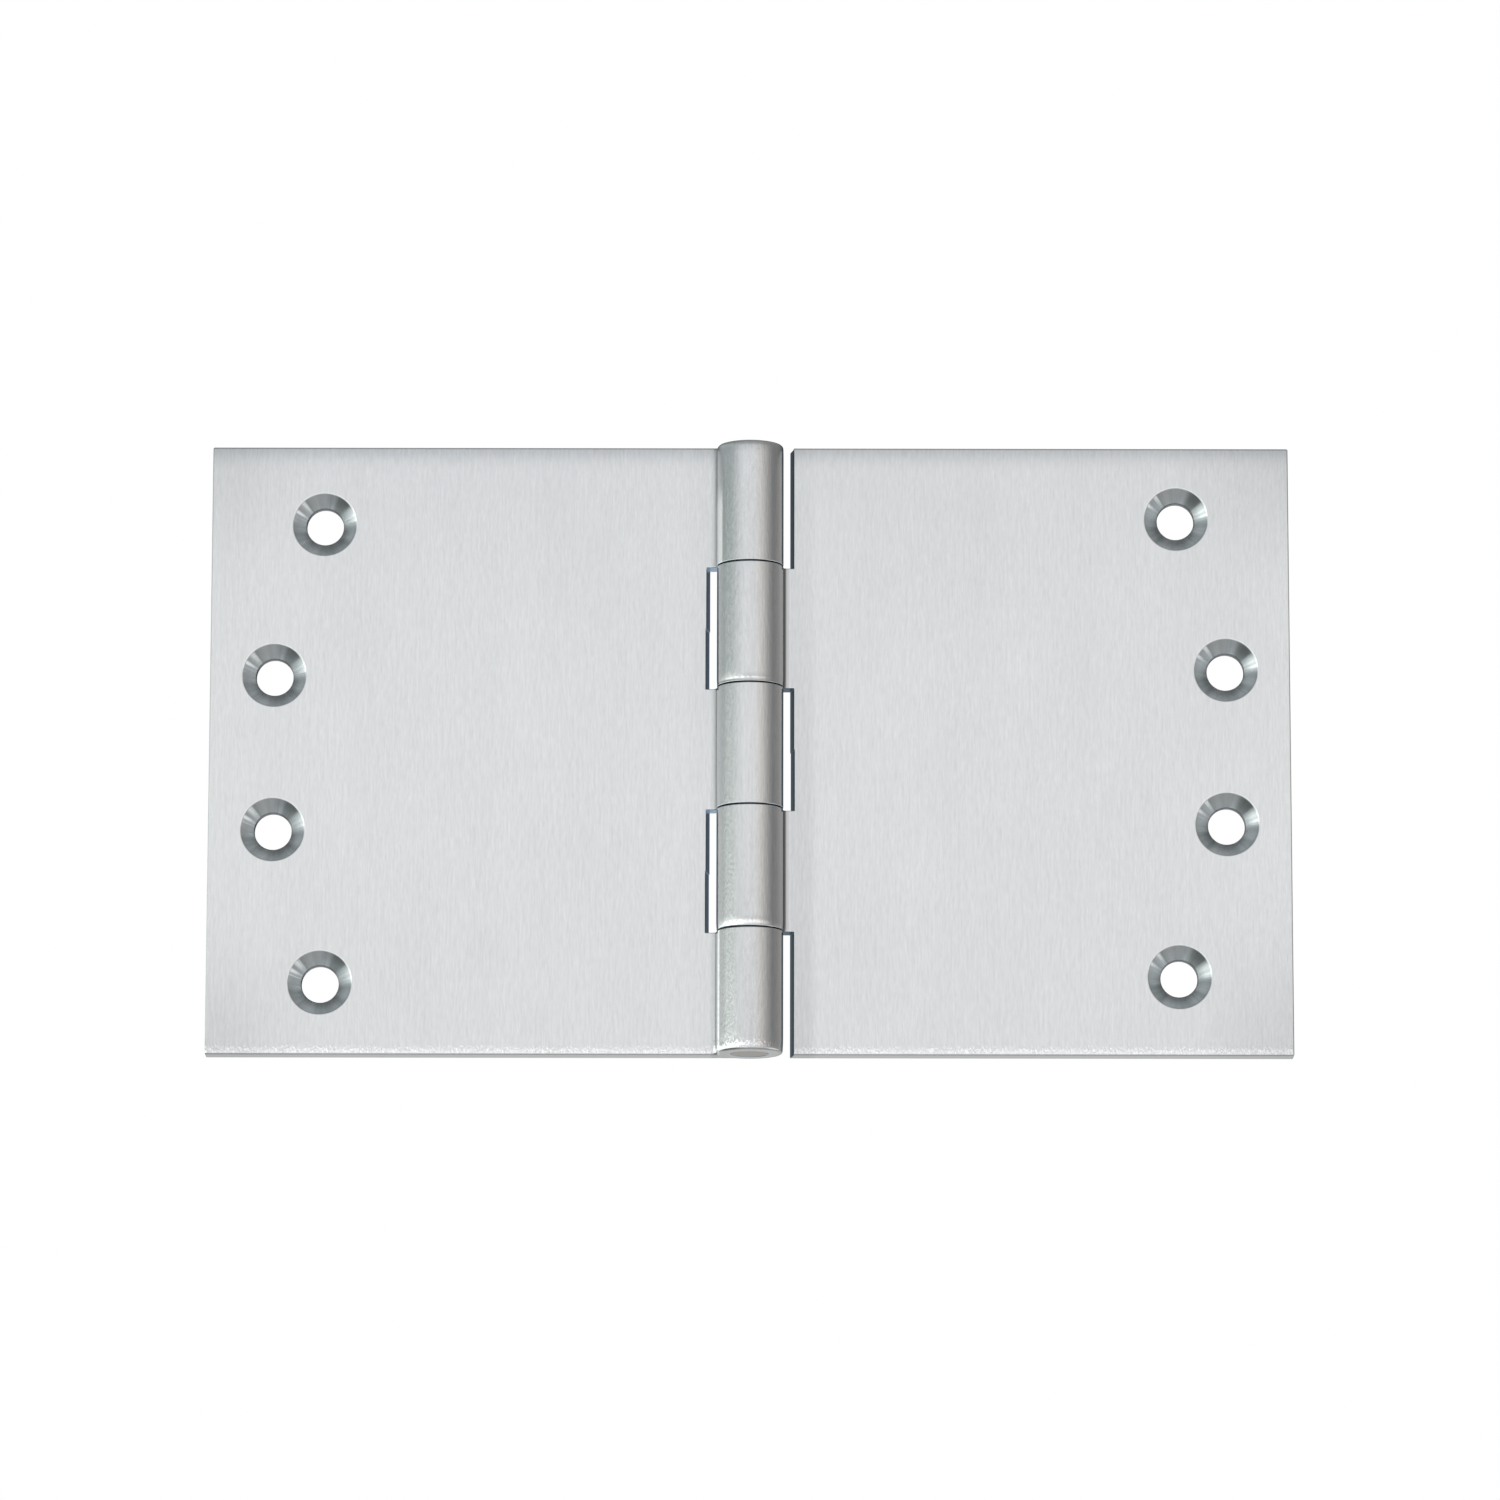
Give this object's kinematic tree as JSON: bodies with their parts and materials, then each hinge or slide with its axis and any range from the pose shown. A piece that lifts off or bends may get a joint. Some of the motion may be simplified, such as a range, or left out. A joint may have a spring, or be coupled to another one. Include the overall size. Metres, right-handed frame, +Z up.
{
  "type": "butt hinge",
  "caption": "Broad butt door hinge: two wide countersunk leaves with interleaved knuckles that fold about a fixed pin, in satin chrome.",
  "frame": {"origin": "on the pin's axis, at half the hinge's height, which is the centre of the hinge's box when it lies open flat", "axes": "+Z up along the pin, +X from the pin across the door leaf, +Y out of the leaves' backs; the countersunk fronts face -Y"},
  "size_m": [0.175, 0.0108, 0.1],
  "materials": {
    "satin_chrome": "satin",
    "pin_steel": "satin"
  },
  "bodies": {
    "frame_side": {"frame_leaf": "satin_chrome", "hinge_pin": "pin_steel"},
    "door_side": {"door_leaf": "satin_chrome"}
  },
  "joints": [
    {"name": "leaf_swing", "type": "hinge", "parent": "frame_side", "child": "door_side", "pos_m": [0, 0, 0], "axis": [0, 0, -1], "range_deg": [-105, 180]}
  ]
}
